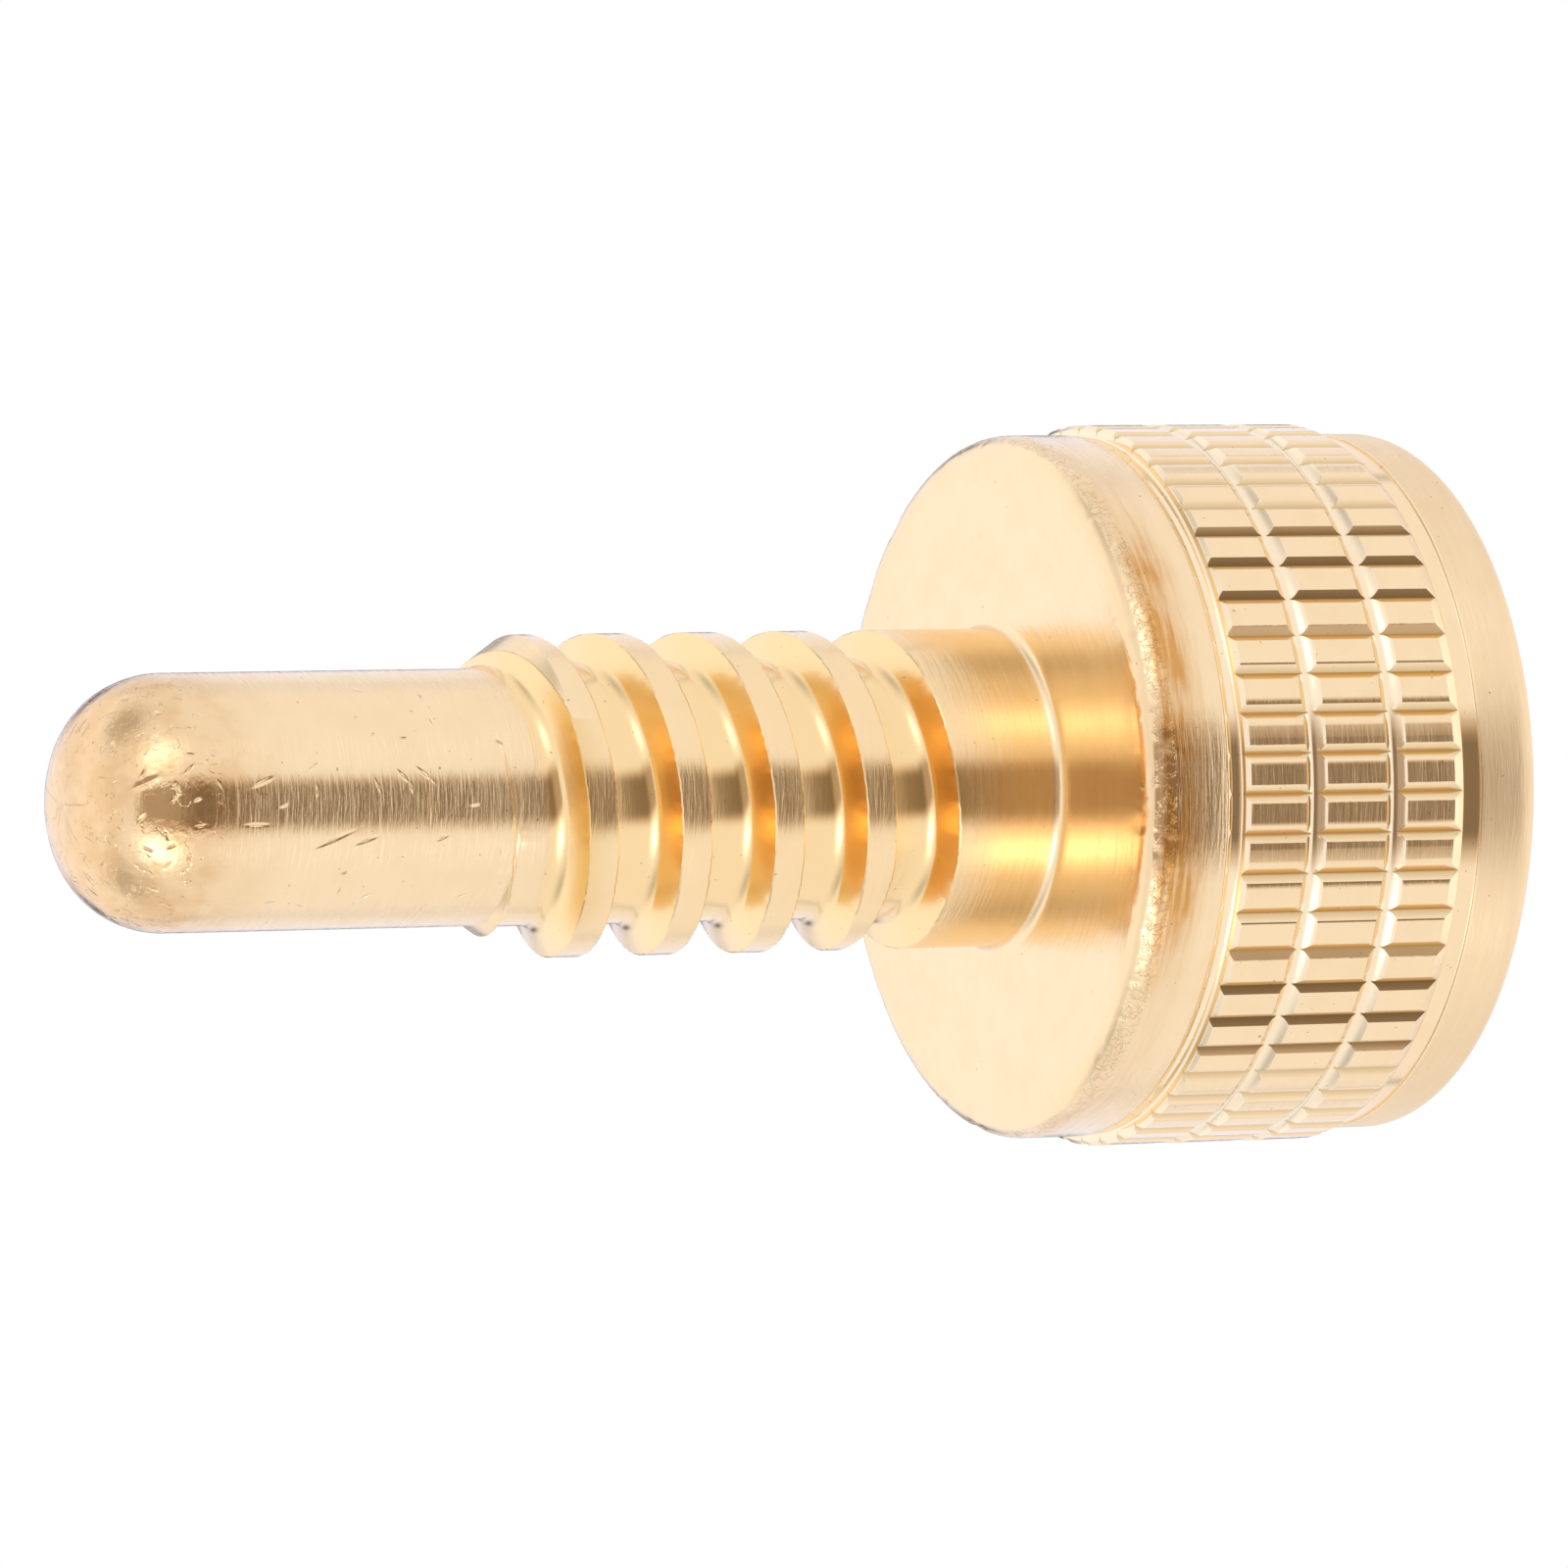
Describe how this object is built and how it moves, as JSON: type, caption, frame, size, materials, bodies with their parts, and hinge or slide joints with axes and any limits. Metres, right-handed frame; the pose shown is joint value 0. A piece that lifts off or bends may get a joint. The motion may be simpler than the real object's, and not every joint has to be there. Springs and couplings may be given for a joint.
{
  "type": "cue weight screw",
  "caption": "Turned brass weight screw with a knurled round head, a plain shank, a coarse right-hand thread and a round-nosed pilot, screwed into a cue to change its weight.",
  "frame": {"origin": "centre of the head's rear face, on which the screw stands", "axes": "+Z along the turning axis from the head to the pilot's nose; +X at the place where the thread's feed stops"},
  "size_m": [0.0182, 0.0182, 0.0362],
  "materials": {
    "brass": "polished and finely turned, with light wear"
  },
  "bodies": {
    "root": {"weight_screw": "brass"}
  },
  "joints": []
}
